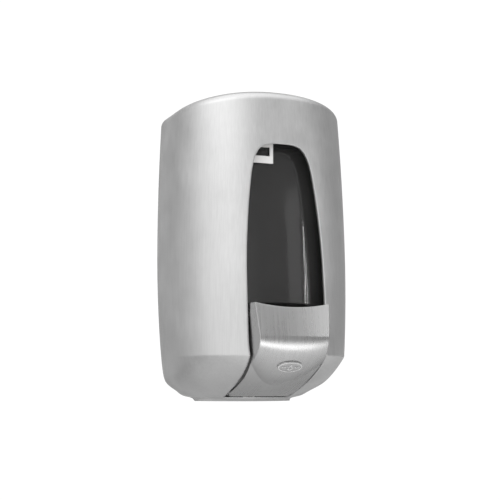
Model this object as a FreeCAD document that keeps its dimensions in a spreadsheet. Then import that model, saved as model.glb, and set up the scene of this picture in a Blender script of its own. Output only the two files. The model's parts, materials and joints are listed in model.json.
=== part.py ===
import FreeCAD, Part
import Sketcher
import math
import os

from FreeCAD import Placement, Rotation, Vector

# Wall-mounted push-button soap dispenser, about one litre.
#
# X runs to the right, -Y towards the user and +Z up. Every piece is drawn with its
# heights measured from the cover's bottom edge; its Placement then lowers it by
# screw_centre, so the origin is the middle of the four wall screws, on the wall.

document = FreeCAD.newDocument("soap_dispenser")
sheet = document.addObject("Spreadsheet::Sheet", "Sizes")

DRIVING_SIZES = [
    # Cover: overall shape
    ("case_height", 225.0, "bottom edge to the middle of the top"),
    ("case_half", 66.2, "half width at the waist"),
    ("waist_height", 117.0, "height of the widest place"),
    ("head_taper", 3.1, "half width lost between waist and top"),
    ("foot_taper", 7.05, "half width lost between waist and bottom"),
    ("front_depth", 101.9, "depth at lean_height"),
    ("lean_height", 60.0, "height that front_depth is given at"),
    ("front_lean", 15.0, "depth lost up to the top, straight part"),
    ("front_bow", 3.0, "depth lost up to the top, curved part"),
    ("side_flat", 30.35, "straight run of each side from the wall"),
    ("corner_power", 2.62, "roundness of the plan section, 2 is an ellipse"),
    ("crown_drop", 9.3, "fall of the top from the middle to each side"),
    ("rim_round", 6.0, "rounding round the top edge"),
    ("cover_wall", 2.4, "wall of the cover"),
    ("wall_gap", 0.6, "cover's back edge to the wall"),
    # Cover: chin and cut-away foot
    ("chin_height", 32.5, "height of the crease over the chin"),
    ("chin_slope", 0.703, "depth lost per height just under the crease"),
    ("chin_curve", 0.0395, "growth of that slope"),
    ("foot_half", 38.2, "half width of the bottom edge"),
    ("foot_run", 1.74, "widening per height of the cut corners"),
    ("foot_soft", 3.2, "softness where the cut corners meet the sides"),
    ("foot_flat", 13.4, "straight run of each side at the bottom edge"),
    ("foot_power", 1.55, "roundness of the plan section at the bottom edge"),
    # Cover: window and button slot in one opening
    ("slot_foot", 3.0, "bottom of the slot"),
    ("slot_foot_half", 26.1, "half width at the bottom"),
    ("slot_knee", 41.0, "height where the slot reaches its full width"),
    ("slot_half", 29.6, "full half width"),
    ("slot_bend", 80.0, "height where the window starts to narrow"),
    ("slot_radius", 570.0, "radius of the window's sides"),
    ("arch_start", 150.0, "height where the arch starts"),
    ("arch_top", 184.7, "top of the window"),
    ("arch_power", 4.2, "squareness of the arch"),
    # Back plate and wall screws
    ("plate_thick", 3.0, "back plate"),
    ("plate_gap", 9.2, "back plate's side edge to the widest line of the case"),
    ("plate_top", 208.0, "top edge of the back plate"),
    ("plate_foot", 2.5, "bottom edge of the back plate"),
    ("plate_corner", 13.0, "cut of the top corners"),
    ("screw_centre", 125.0, "height of the middle of the wall screws"),
    ("screw_across", 60.0, "wall screws, side to side"),
    ("screw_up", 100.0, "wall screws, bottom to top"),
    ("screw_hole", 2.5, "radius of each wall screw hole"),
    # Cover hinge
    ("hinge_out", 6.5, "hinge line from the wall"),
    ("hinge_up", 6.5, "hinge line from the bottom edge"),
    ("hinge_pin", 1.5, "radius of the hinge pins"),
    ("hinge_boss", 5.0, "radius of the bosses in the cover"),
    ("lug_outer", 32.6, "outer face of each plate lug"),
    ("lug_thick", 3.0, "lug on the back plate"),
    ("boss_depth", 7.0, "length of a pin inside its boss"),
    # Fits
    ("running", 0.05, "radial clearance of every running fit"),
    ("side_play", 0.4, "gap beside a part that turns or slides"),
    # Reservoir
    ("tank_foot", 55.0, "underside of the reservoir"),
    ("tank_top", 184.0, "top of the reservoir"),
    ("tank_back", 9.0, "reservoir's back from the wall"),
    ("tank_gap", 8.4, "reservoir to cover, front top"),
    ("tank_side_gap", 2.4, "reservoir to cover, sides"),
    ("tank_front_foot", 90.5, "reservoir's front from the wall, at its knee"),
    ("tank_knee", 70.0, "height where the front turns under"),
    ("tank_toe", 68.0, "front of the underside from the wall"),
    ("tank_wall", 2.0, "wall of the reservoir"),
    ("fill_half", 24.0, "half width of the filling mouth"),
    ("fill_back", 52.0, "back edge of the filling mouth"),
    ("fill_front", 74.8, "front edge of the filling mouth"),
    # Reservoir lid
    ("lid_half", 26.0, "half width of the lid"),
    ("lid_thick", 2.0, "lid plate"),
    ("lid_axis_out", 48.0, "lid hinge from the wall"),
    ("lid_axis_rise", 3.0, "lid hinge over the reservoir's top"),
    ("lid_pin", 1.0, "radius of the lid pin"),
    ("lid_pin_half", 20.0, "half length of the lid pin"),
    ("lid_knuckle", 2.5, "radius of the lid's knuckle"),
    ("loop_left", 20.5, "left side of the finger loop from the middle"),
    ("loop_right", 3.4, "right side of the finger loop from the middle"),
    ("loop_foot", 171.5, "bottom of the finger loop"),
    ("loop_thick", 1.0, "plate of the finger loop"),
    ("loop_gap", 0.45, "finger loop to the reservoir, at the loop's foot"),
    ("loop_bar", 2.6, "side bar of the finger loop"),
    ("loop_rail", 5.3, "bottom bar of the finger loop"),
    # Push button
    ("button_top", 68.7, "top corners of the button"),
    ("button_sag", 3.0, "sag of the top edge in the middle"),
    ("button_foot", 3.7, "bottom edge of the button"),
    ("flare_out", 98.0, "depth where the button's sides reach their full width"),
    ("head_flare", 1.3, "extra half width there, at the top"),
    ("waist_flare", 2.7, "extra half width there, at the waist"),
    ("button_head_half", 27.6, "half width at the top"),
    ("button_waist", 34.0, "height where the sides turn straight down"),
    ("button_half", 25.3, "half width below the waist"),
    ("button_wall", 2.2, "wall of the button"),
    ("button_face_top", 107.6, "face from the wall, at the top"),
    ("button_face_low", 111.6, "face from the wall, at the bend"),
    ("button_bulge", 1.2, "extra depth of the face in the middle"),
    ("bend_height", 45.5, "height where the face starts to turn under"),
    ("belly_foot", 12.2, "bottom of the belly in the middle"),
    ("belly_rise", 16.0, "rise of the belly's edge at the sides"),
    ("flange_proud", 1.0, "chin flange over the cover's chin"),
    ("pivot_out", 91.0, "button pivot from the wall"),
    ("pivot_up", 61.0, "button pivot from the bottom edge"),
    ("pivot_pin", 1.5, "radius of the button pins"),
    ("pivot_ear", 4.0, "ears round the button pins"),
    ("ear_inner", 30.7, "inner face of each cover ear"),
    ("ear_thick", 3.0, "cover ear"),
    ("press_face", 86.0, "button's pad from the wall"),
    ("press_gap", 0.4, "pad to plunger, at rest"),
    ("pad_half", 4.0, "half width of the pad"),
    ("pad_reach", 6.0, "pad above and below the plunger's line"),
    ("badge_half", 9.5, "half width of the badge"),
    ("badge_half_up", 5.2, "half height of the badge"),
    ("badge_thick", 0.8, "badge"),
    ("badge_height", 27.0, "middle of the badge"),
    # Pump
    ("pump_line", 30.0, "plunger's line from the bottom edge"),
    ("pump_out", 24.0, "inlet and nozzle line from the wall"),
    ("pump_bore", 6.5, "radius of the pump bore"),
    ("pump_wall", 3.3, "wall of the pump barrel"),
    ("barrel_back", 6.2, "barrel's back end from the wall"),
    ("barrel_front", 46.0, "barrel's front end from the wall"),
    ("piston_back", 33.0, "piston's back face at rest"),
    ("piston_long", 6.0, "piston"),
    ("rod_radius", 3.5, "plunger rod"),
    ("collar_radius", 7.5, "plunger's collar, which the spring bears on"),
    ("collar_thick", 2.0, "plunger's collar"),
    ("seal_width", 2.6, "plunger's seal"),
    ("seal_deep", 1.8, "seal's depth in its groove"),
    ("cap_radius", 10.8, "barrel cap"),
    ("cap_front", 50.0, "barrel cap's front face from the wall"),
    ("cap_skirt", 5.5, "barrel cap's skirt over the barrel"),
    ("spring_radius", 5.8, "return spring, middle of its wire"),
    ("spring_wire", 0.7, "radius of the spring's wire"),
    ("spring_turns", 8.0, "turns of the return spring"),
    # Inlet
    ("spigot_radius", 9.0, "reservoir's spigot"),
    ("spigot_bore", 6.0, "bore of the spigot"),
    ("spigot_long", 8.0, "length of the spigot"),
    ("gasket_thick", 2.0, "outlet gasket"),
    ("cup_wall", 3.2, "wall of the inlet cup"),
    ("cup_high", 8.0, "height of the inlet cup over its floor"),
    ("ball_radius", 2.8, "inlet ball"),
    ("cage_radius", 3.6, "radius of the ball's chamber"),
    ("cage_thick", 1.2, "ball retainer"),
    ("cage_hole", 1.5, "hole in the ball retainer"),
    ("seat_hole", 2.0, "radius of the valve seat"),
    # Outlet
    ("outlet_radius", 6.0, "pump's outlet boss"),
    ("outlet_bore", 3.0, "bore of the outlet"),
    ("outlet_foot", 12.0, "bottom of the outlet boss"),
    ("nozzle_wall", 1.6, "nozzle"),
    ("nozzle_top", 18.0, "top of the nozzle"),
    ("nozzle_foot", 1.5, "tip of the nozzle"),
    ("nozzle_tip", 3.8, "radius of the nozzle's tip"),
    ("valve_thick", 1.4, "disc of the outlet valve"),
    ("valve_bill", 2.4, "radius of the outlet valve's bill"),
    ("valve_foot", 5.0, "bottom of the outlet valve's bill"),
    # Pump bracket
    ("bracket_thick", 2.5, "pump bracket"),
    ("bracket_half", 24.0, "half width of the bracket"),
    ("bracket_foot", 14.5, "bottom of the bracket"),
    ("bracket_top", 47.0, "top of the bracket"),
    ("cheek_front", 38.0, "front of the bracket's cheeks from the wall"),
    ("cheek_reach", 7.0, "cheek above and below the plunger's line"),
    ("screw_radius", 1.5, "bracket screws"),
    ("screw_head", 3.4, "heads of the bracket screws"),
    ("screw_head_high", 2.0, "height of those heads"),
    ("screw_inset", 5.0, "bracket screws from the bracket's edges"),
    # Lock
    ("lock_out", 18.0, "lock from the wall"),
    ("lock_radius", 8.0, "lock barrel"),
    ("lock_flange", 10.0, "lock barrel's flange"),
    ("lock_flange_high", 1.2, "height of that flange"),
    ("lock_foot", 207.5, "bottom of the lock barrel"),
    ("plug_radius", 5.2, "lock plug"),
    ("stud_radius", 3.0, "stud that the cam sits on"),
    ("key_wide", 1.2, "keyway"),
    ("key_long", 7.0, "keyway, long way"),
    ("key_deep", 6.0, "keyway, depth"),
    ("nut_radius", 11.0, "lock nut, across its corners"),
    ("nut_high", 3.5, "lock nut"),
    ("cam_thick", 2.0, "lock cam"),
    ("cam_half", 4.0, "half width of the cam"),
    ("cam_reach", 14.0, "cam's tip from the lock's line"),
    ("strike_left", 9.5, "strike's inner side from the middle"),
    ("strike_wide", 5.5, "strike"),
    ("strike_thick", 2.5, "strike's lip"),
]


class Dim:
    """A size: its value, and the spreadsheet expression that gives it."""

    def __init__(self, value, text):
        self.value = value
        self.text = text

    def joined(self, other, sign, value):
        return Dim(value, f"({self.text} {sign} {dim(other).text})")

    def __add__(self, other):
        return self.joined(other, "+", self.value + dim(other).value)

    def __sub__(self, other):
        return self.joined(other, "-", self.value - dim(other).value)

    def __mul__(self, other):
        return self.joined(other, "*", self.value * dim(other).value)

    def __truediv__(self, other):
        return self.joined(other, "/", self.value / dim(other).value)

    def __neg__(self):
        return Dim(-self.value, f"(0 - {self.text})")


def dim(size):
    return size if isinstance(size, Dim) else Dim(float(size), f"{float(size)}")


class Sizes:
    """The driving sizes by name, each a Dim."""


size = Sizes()
for row, (alias, value, note) in enumerate(DRIVING_SIZES, start=1):
    sheet.set(f"A{row}", alias)
    sheet.set(f"B{row}", str(value))
    sheet.set(f"C{row}", note)
    sheet.setAlias(f"B{row}", alias)
    setattr(size, alias, Dim(value, f"Sizes.{alias}"))
document.recompute()
for alias, _, _ in DRIVING_SIZES:
    getattr(size, alias).value = float(sheet.get(alias))

ZERO = dim(0)
ALONG_X = Rotation(Vector(0, 1, 0), 90)
ALONG_FRONT = Rotation(Vector(1, 0, 0), 90)
UPRIGHT = Rotation()


# ---- Document helpers ---------------------------------------------------------------


def bind(thing, name, length):
    setattr(thing, name, length.value)
    thing.setExpression(name, length.text)


def place(thing, at, rotation=UPRIGHT):
    """Put a thing at three sizes; its Placement follows the spreadsheet."""
    at = [dim(length) for length in at]
    thing.Placement = Placement(Vector(*[length.value for length in at]), rotation)
    for name, length in zip("xyz", at):
        thing.setExpression(f"Placement.Base.{name}", length.text)


def box(name, low, high):
    thing = document.addObject("Part::Box", name)
    for prop, start, end in zip(("Length", "Width", "Height"), low, high):
        bind(thing, prop, dim(end) - start)
    place(thing, low)
    return thing


def cylinder(name, radius, length, at, rotation=UPRIGHT):
    thing = document.addObject("Part::Cylinder", name)
    bind(thing, "Radius", dim(radius))
    bind(thing, "Height", dim(length))
    place(thing, at, rotation)
    return thing


def cone(name, low_radius, high_radius, length, at, rotation=UPRIGHT):
    thing = document.addObject("Part::Cone", name)
    bind(thing, "Radius1", dim(low_radius))
    bind(thing, "Radius2", dim(high_radius))
    bind(thing, "Height", dim(length))
    place(thing, at, rotation)
    return thing


def fuse(name, *shapes):
    thing = document.addObject("Part::MultiFuse", name)
    thing.Shapes = list(shapes)
    return thing


def cut(name, base, *tools):
    thing = document.addObject("Part::Cut", name)
    thing.Base = base
    thing.Tool = tools[0] if len(tools) == 1 else fuse(f"{name}_tools", *tools)
    return thing


def common(name, base, tool):
    thing = document.addObject("Part::Common", name)
    thing.Base = base
    thing.Tool = tool
    return thing


def solid_feature(name, shape):
    thing = document.addObject("Part::Feature", name)
    thing.Shape = shape
    return thing


def constrain(sketch, kind, geometry, point, length):
    """Hold a sketch point at a signed distance from the sketch's origin."""
    if length.value == 0:
        axis = -2 if kind == "DistanceX" else -1
        sketch.addConstraint(Sketcher.Constraint("PointOnObject", geometry, point, axis))
        return
    ends = (-1, 1, geometry, point)
    if length.value < 0:
        ends = (geometry, point, -1, 1)
        length = -length
    index = sketch.addConstraint(Sketcher.Constraint(kind, *ends, length.value))
    sketch.setExpression(f"Constraints[{index}]", length.text)


def draw_polygon(sketch, corners):
    """A closed outline whose corners follow the spreadsheet."""
    corners = [(dim(x), dim(y)) for x, y in corners]
    points = [Vector(x.value, y.value, 0) for x, y in corners]
    first = sketch.GeometryCount
    for start, end in zip(points, points[1:] + points[:1]):
        sketch.addGeometry(Part.LineSegment(start, end))
    for index, (x, y) in enumerate(corners):
        before = first + (index - 1) % len(corners)
        sketch.addConstraint(Sketcher.Constraint("Coincident", before, 2, first + index, 1))
        constrain(sketch, "DistanceX", first + index, 1, x)
        constrain(sketch, "DistanceY", first + index, 1, y)


def draw_circle(sketch, x, y, radius):
    x, y, radius = dim(x), dim(y), dim(radius)
    circle = Part.Circle(Vector(x.value, y.value, 0), Vector(0, 0, 1), radius.value)
    geometry = sketch.addGeometry(circle)
    constrain(sketch, "DistanceX", geometry, 3, x)
    constrain(sketch, "DistanceY", geometry, 3, y)
    index = sketch.addConstraint(Sketcher.Constraint("Radius", geometry, radius.value))
    sketch.setExpression(f"Constraints[{index}]", radius.text)


def new_sketch(body, name, role):
    sketch = body.newObject("Sketcher::SketchObject", name)
    plane = next(item for item in body.Origin.OriginFeatures if item.Role == role)
    sketch.AttachmentSupport = [(plane, "")]
    sketch.MapMode = "FlatFace"
    return sketch


def turned(name, outline):
    """A PartDesign body turned about its own Z axis from (radius, height) corners."""
    body = document.addObject("PartDesign::Body", name)
    sketch = new_sketch(body, f"{name}_outline", "XZ_Plane")
    draw_polygon(sketch, outline)
    revolution = body.newObject("PartDesign::Revolution", f"{name}_turn")
    revolution.Profile = sketch
    revolution.ReferenceAxis = (sketch, ["V_Axis"])
    revolution.Angle = 360
    body.Tip = revolution
    return body


def padded(name, outline, thickness, holes=()):
    """A PartDesign body: an outline in XZ, padded from Y = 0 towards the user."""
    body = document.addObject("PartDesign::Body", name)
    sketch = new_sketch(body, f"{name}_outline", "XZ_Plane")
    draw_polygon(sketch, outline)
    pad = body.newObject("PartDesign::Pad", f"{name}_pad")
    pad.Profile = sketch
    bind(pad, "Length", dim(thickness))
    document.recompute()
    if holes:
        drilled = new_sketch(body, f"{name}_holes", "XZ_Plane")
        for x, y, radius in holes:
            draw_circle(drilled, x, y, radius)
        pocket = body.newObject("PartDesign::Pocket", f"{name}_drill")
        pocket.Profile = drilled
        pocket.Type = "ThroughAll"
        pocket.Midplane = True
        body.Tip = pocket
    return body


PIECES = []


def piece(name, thing, at=(0, 0, 0), rotation=UPRIGHT):
    """Name a finished sub-part and lower it into the dispenser's own frame."""
    thing.Label = name
    place(thing, (at[0], at[1], dim(at[2]) - size.screw_centre), rotation)
    PIECES.append(thing)
    return thing


# ---- Shape of the case --------------------------------------------------------------


def lengthened(curve, height, inset):
    """What an inset at right angles to a sloping wall is, measured level."""
    step = 0.05
    slope = (curve(height + step) - curve(height - step)) / (2 * step)
    return inset * math.hypot(1, slope)


def upper_depth(height):
    rise = (height - size.lean_height.value) / (size.case_height.value - size.lean_height.value)
    return size.front_depth.value - size.front_lean.value * rise - size.front_bow.value * rise**2


def chin_depth(height):
    drop = size.chin_height.value - height
    start = upper_depth(size.chin_height.value)
    return start - size.chin_slope.value * drop - size.chin_curve.value * drop**2


def crease_height(inset):
    """Where the chin meets the front, for a skin this far inside the cover's."""
    slope = size.chin_slope.value
    lean = size.front_lean.value / size.case_height.value
    return size.chin_height.value + inset * (math.hypot(1, slope) - 1) / (slope + lean)


def front_depth(height, inset=0.0):
    curve = chin_depth if height < crease_height(inset) - 1e-6 else upper_depth
    return curve(height) - lengthened(curve, height, inset)


def outline_half(height):
    waist = size.waist_height.value
    above = height > waist
    reach = size.case_height.value - waist if above else waist
    taper = size.head_taper.value if above else size.foot_taper.value
    side = size.case_half.value - taper * ((height - waist) / reach) ** 2
    foot = size.foot_half.value + size.foot_run.value * height
    return (side + foot - math.hypot(side - foot, 2 * size.foot_soft.value)) / 2


def side_half(height, inset=0.0):
    return outline_half(height) - lengthened(outline_half, height, inset)


def chin_share(height, inset=0.0):
    """0 above the crease, 1 at the bottom edge."""
    crease = crease_height(inset)
    return max(0.0, (crease - height) / crease)


def section_flat(height, inset=0.0):
    share = chin_share(height, inset)
    return size.side_flat.value + (size.foot_flat.value - size.side_flat.value) * share


def section_power(height, inset=0.0):
    share = chin_share(height, inset)
    return size.corner_power.value + (size.foot_power.value - size.corner_power.value) * share


def surface_depth(across, height):
    """Depth of the cover's skin at a place on its front."""
    flat = section_flat(height)
    power = section_power(height)
    share = abs(across) / side_half(height)
    return flat + (front_depth(height) - flat) * (1 - share**power) ** (1 / power)


def skin_point(share, level, inset, back, crowned, tucked=0.0):
    """One point of a case shape's skin.

    share runs from 0 at the right back edge to 1 at the left one. crowned bends the level
    down to the sides as the top does, and tucked pulls the point in from the walls.
    """
    side_share = 0.12
    turn = min(1.0, max(0.0, (share - side_share) / (1 - 2 * side_share)))
    angle = math.pi * turn

    def plan(height):
        half = side_half(height, inset) - tucked
        flat = section_flat(height, inset)
        front = front_depth(height, inset) - tucked
        power = section_power(height, inset)
        along = math.cos(angle)
        across = math.copysign(abs(along) ** (2 / power), along) * half
        if turn in (0.0, 1.0):
            run = min(share, 1 - share) / side_share
            return across, back + (flat - back) * run
        return across, flat + (front - flat) * math.sin(angle) ** (2 / power)

    across, _ = plan(level)
    height = level - crowned * crown_fall(across)
    across, deep = plan(height)
    return Vector(across, -deep, height)


def crown_fall(across):
    return size.crown_drop.value * (across / size.case_half.value) ** 2


def skin_row(level, inset, back, crowned=0.0, tucked=0.0):
    steps = 36
    return [skin_point(i / steps, level, inset, back, crowned, tucked) for i in range(steps + 1)]


def row_wire(points):
    curve = Part.BSplineCurve()
    curve.interpolate(points)
    return Part.Wire([curve.toShape()])


def case_solid(inset, back, foot, rounding):
    """The cover's outer form, or its hollow when inset is the wall."""
    top = size.case_height.value - inset
    crease = crease_height(inset)
    shoulder = top - rounding
    chin_steps = 9
    body_steps = 8
    turn_steps = 5
    cap_steps = 3

    def body_row(share):
        level = crease + (shoulder - crease) * share
        return row_wire(skin_row(level, inset, back, crowned=max(0.0, 2 * share - 1)))

    def shoulder_row(angle):
        level = shoulder + rounding * math.sin(angle)
        return skin_row(level, inset, back, 1.0, rounding * (1 - math.cos(angle)))

    chin = [foot + (crease - foot) * step / chin_steps for step in range(chin_steps)]
    chin_wires = [row_wire(skin_row(level, inset, back)) for level in chin]
    body_wires = [body_row(step / body_steps) for step in range(body_steps + 1)]
    turns = [math.pi / 2 * step / turn_steps for step in range(1, turn_steps + 1)]
    turn_wires = [row_wire(shoulder_row(angle)) for angle in turns]
    rim = shoulder_row(math.pi / 2)
    peak = Vector(0, -back, top)
    cap_wires = []
    for step in range(1, cap_steps):
        near = 1 - step / cap_steps
        row = [Vector(point.x * near, -back + (point.y + back) * near, 0) for point in rim]
        row = [Vector(point.x, point.y, top - crown_fall(point.x)) for point in row]
        cap_wires.append(row_wire(row))
    skins = [
        Part.makeLoft(chin_wires + [body_wires[0]]),
        Part.makeLoft(body_wires),
        Part.makeLoft([body_wires[-1]] + turn_wires),
        Part.makeLoft([turn_wires[-1]] + cap_wires + [Part.Vertex(peak)]),
    ]
    faces = [face for skin in skins for face in skin.Faces]
    back_edges = [edge for face in faces for edge in face.Edges if flat_on_back(edge, back)]
    low = chin_wires[0]
    base = Part.LineSegment(low.Edges[0].firstVertex().Point, low.Edges[0].lastVertex().Point)
    faces.append(Part.Face(Part.Wire(Part.__sortEdges__(back_edges + [base.toShape()]))))
    faces.append(Part.Face(Part.Wire(Part.__sortEdges__(low.Edges + [base.toShape()]))))
    closed = Part.Compound(faces)
    closed.sewShape()
    whole = Part.Solid(closed.Shells[0] if closed.Shells else closed)
    if whole.Volume < 0:
        whole.reverse()
    return whole


def flat_on_back(edge, back):
    reach = edge.FirstParameter, edge.LastParameter
    places = [reach[0] + (reach[1] - reach[0]) * share for share in (0.0, 0.5, 1.0)]
    return edge.Length > 1e-3 and all(abs(edge.valueAt(u).y + back) < 1e-4 for u in places)


def prism(wire, start, direction):
    face = Part.Face(wire)
    face.translate(start)
    return face.extrude(direction)


def smooth_edge(points):
    curve = Part.BSplineCurve()
    curve.interpolate([Vector(*point) for point in points])
    return curve.toShape()


def line_edges(points):
    points = [Vector(*point) for point in points]
    return [Part.LineSegment(a, b).toShape() for a, b in zip(points, points[1:])]


# ---- Cover --------------------------------------------------------------------------


def slot_half_at(height):
    """Half width of the one opening that holds the button and the window."""
    knee = size.slot_knee.value
    if height < knee:
        foot = size.slot_foot.value
        share = (height - foot) / (knee - foot)
        return size.slot_foot_half.value + (size.slot_half.value - size.slot_foot_half.value) * share
    past_bend = max(0.0, height - size.slot_bend.value)
    side = size.slot_half.value - past_bend**2 / (2 * size.slot_radius.value)
    start = size.arch_start.value
    up = max(0.0, (height - start) / (size.arch_top.value - start))
    power = size.arch_power.value
    return side * max(0.0, 1 - up**power) ** (1 / power)


def slot_wire():
    start = size.arch_start.value
    side_steps = 6
    arch_steps = 10
    knee = size.slot_knee.value
    rising = [knee + (start - knee) * step / side_steps for step in range(side_steps)]
    turn = [math.sin(math.pi / 2 * step / arch_steps) for step in range(arch_steps + 1)]
    rising += [start + (size.arch_top.value - start) * share for share in turn]
    right = [(slot_half_at(height), 0, height) for height in rising]
    left = [(-x, y, z) for x, y, z in reversed(right[:-1])]
    foot = size.slot_foot.value
    foot_half = size.slot_foot_half.value
    low = line_edges([left[-1], (-foot_half, 0, foot), (foot_half, 0, foot), right[0]])
    return Part.Wire([smooth_edge(right + left)] + low)


case_outer = case_solid(0.0, size.wall_gap.value, 0.0, size.rim_round.value)
wall = size.cover_wall.value
case_hollow = case_solid(wall, -wall, -wall, size.rim_round.value - wall)
slot_cutter = prism(
    slot_wire(),
    Vector(0, -front_depth(0.0) + wall, 0),
    Vector(0, -size.front_depth.value, 0),
)


def cover_shell():
    """The skin, trimmed at its lower back corners so that it can tip past the lugs."""
    hinge_out = size.hinge_out.value
    hinge_up = size.hinge_up.value
    reach = min(hinge_out, hinge_up) - size.side_play.value - 0.1
    wide = 4 * size.case_half.value
    corner = Part.makeBox(wide, hinge_out + 1, hinge_up + 1, Vector(-wide / 2, -hinge_out, -1))
    knuckle = Part.makeCylinder(
        reach, wide, Vector(-wide / 2, -hinge_out, hinge_up), Vector(1, 0, 0)
    )
    half = size.lug_outer.value + size.side_play.value
    room = hinge_out + size.hinge_boss.value + 2
    lug_room = Part.makeBox(2 * half, room + 1, 2 * hinge_up, Vector(-half, -room, -1))
    skin = case_outer.cut(case_hollow).cut(slot_cutter).cut(lug_room)
    return skin.cut(corner.cut(knuckle))


def cover_ears():
    """Ears behind the skin, one each side of the slot, for the button's pins."""
    reach = size.pivot_ear.value
    inner = size.ear_inner.value
    thick = size.ear_thick.value
    deep = size.front_depth.value - size.pivot_out.value + reach
    ears = []
    for left in (inner, -inner - thick):
        corner = Vector(left, -size.pivot_out.value + reach - deep, size.pivot_up.value - reach)
        ears.append(Part.makeBox(thick, deep, 2 * reach, corner))
    return ears


def cover_bosses():
    """Bosses on the side walls that turn on the hinge pins."""
    inner = size.lug_outer.value + size.side_play.value
    bosses = []
    for side in (1, -1):
        start = Vector(side * inner, -size.hinge_out.value, size.hinge_up.value)
        long = size.case_half.value - inner
        bosses.append(Part.makeCylinder(size.hinge_boss.value, long, start, Vector(side, 0, 0)))
    return bosses


def cover_holes():
    """Bores for the hinge pins, the button pins and the lock barrel."""
    bores = []
    lug = size.lug_outer.value
    depth = size.side_play.value + size.boss_depth.value
    hinge = size.hinge_pin.value + size.running.value
    pivot = size.pivot_pin.value
    ear_end = size.ear_inner.value + size.ear_thick.value
    for side in (1, -1):
        start = Vector(side * lug, -size.hinge_out.value, size.hinge_up.value)
        bores.append(Part.makeCylinder(hinge, depth + size.side_play.value, start, Vector(side, 0, 0)))
        start = Vector(0, -size.pivot_out.value, size.pivot_up.value)
        bores.append(Part.makeCylinder(pivot, ear_end, start, Vector(side, 0, 0)))
    start = Vector(0, -size.lock_out.value, size.case_height.value - 4 * wall)
    bores.append(Part.makeCylinder(size.lock_radius.value, 8 * wall, start))
    return bores


def make_cover():
    inside = [part.common(case_outer) for part in cover_ears() + cover_bosses()]
    whole = cover_shell().multiFuse(inside)
    for bore in cover_holes():
        whole = whole.cut(bore)
    return whole.Solids[0]


piece("cover", solid_feature("cover_body", make_cover()))


# ---- Back plate ---------------------------------------------------------------------


def make_back_plate():
    foot_half = size.lug_outer
    plate_half = size.case_half - size.plate_gap
    step_up = size.hinge_up * 2 + 0.5
    right = [
        (foot_half, size.plate_foot),
        (foot_half, step_up),
        (foot_half + 11, step_up),
        (plate_half - 2, step_up + 12),
        (plate_half, size.slot_knee),
        (plate_half, size.plate_top - size.plate_corner),
        (plate_half - size.plate_corner, size.plate_top),
    ]
    outline = right + [(-x, y) for x, y in reversed(right)]
    holes = []
    for side in (1, -1):
        for up in (1, -1):
            middle = size.screw_centre + size.screw_up / 2 * up
            holes.append((size.screw_across / 2 * side, middle, size.screw_hole))
    for x, z in bracket_screw_places():
        holes.append((x, z, size.screw_radius))
    plate = padded("plate", outline, size.plate_thick, holes)
    parts = [plate]
    skin = -size.plate_thick
    for side, name in ((1, "right"), (-1, "left")):
        parts.append(plate_lug(side, name, skin))
        parts.append(plate_arm(side, name, skin))
        parts.append(plate_hook(side, name, skin))
    parts += lock_strike(skin)
    bores = []
    for side, name in ((1, "right"), (-1, "left")):
        inner = size.lug_outer - size.lug_thick
        low = inner if side == 1 else -size.lug_outer
        at = (low, -size.hinge_out, size.hinge_up)
        bores.append(cylinder(f"lug_bore_{name}", size.hinge_pin, size.lug_thick, at, ALONG_X))
    return cut("plate_body", fuse("plate_parts", *parts), *bores)


def sided(side, inner, outer):
    """The low and high X of something from inner to outer on one side."""
    return (inner, outer) if side == 1 else (-outer, -inner)


def plate_lug(side, name, skin):
    low, high = sided(side, size.lug_outer - size.lug_thick, size.lug_outer)
    front = -size.hinge_out - size.hinge_boss
    top = size.hinge_up + size.hinge_boss
    return box(f"lug_{name}", (low, front, size.plate_foot), (high, skin + 1, top))


def plate_arm(side, name, skin):
    """A shelf arm that the reservoir stands on."""
    low, high = sided(side, dim(42), dim(47))
    top = size.tank_foot
    return box(f"arm_{name}", (low, -size.tank_toe + 14, top - 6), (high, skin + 1, top))


def plate_hook(side, name, skin):
    """A hook over the reservoir's back edge."""
    low, high = sided(side, dim(36), dim(46))
    low_z = size.tank_top + 0.3
    return box(f"hook_{name}", (low, -size.tank_back - 4, low_z), (high, skin + 1, low_z + 3))


def lock_strike(skin):
    """A shelf with an upturned lip that the lock cam turns in behind."""
    low = size.strike_left
    high = low + size.strike_wide
    cam_top = size.lock_foot - size.cam_thick
    shelf_top = cam_top - size.cam_thick - 0.5
    behind = -size.lock_out - size.cam_half - size.side_play
    front = behind - size.strike_thick
    shelf = box("strike_shelf", (low, front, shelf_top - 2.5), (high, skin + 1, shelf_top))
    lip = box("strike_lip", (low, front, shelf_top - 1), (high, behind, cam_top - 0.3))
    return [shelf, lip]


def bracket_screw_places():
    places = []
    inset = size.screw_inset
    for x in (size.bracket_half - inset, inset - size.bracket_half):
        for z in (size.bracket_foot + inset - 1, size.bracket_top - inset + 1):
            places.append((x, z))
    return places


piece("back_plate", make_back_plate())


# ---- Reservoir and its lid ----------------------------------------------------------


def tank_front(height):
    knee = size.tank_knee.value
    top = size.tank_top.value
    low = size.tank_front_foot.value
    high = front_depth(top) - size.cover_wall.value - size.tank_gap.value
    return low + (high - low) * (height - knee) / (top - knee)


def tank_section(height, inset):
    half = side_half(height, size.cover_wall.value + size.tank_side_gap.value + inset)
    front = tank_front(height) - inset
    back = size.tank_back.value + inset
    flat = size.side_flat.value
    power = 2 / size.corner_power.value
    steps = 28
    points = [Vector(half, -back, height), Vector(half, -(back + flat) / 2, height)]
    for step in range(steps + 1):
        angle = math.pi * step / steps
        along = math.cos(angle)
        across = math.copysign(abs(along) ** power, along) * half
        deep = flat + (front - flat) * max(0.0, math.sin(angle)) ** power
        points.append(Vector(across, -deep, height))
    points += [Vector(-half, -(back + flat) / 2, height), Vector(-half, -back, height)]
    skin = Part.BSplineCurve()
    skin.interpolate(points)
    return Part.Wire([skin.toShape(), Part.LineSegment(points[-1], points[0]).toShape()])


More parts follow.
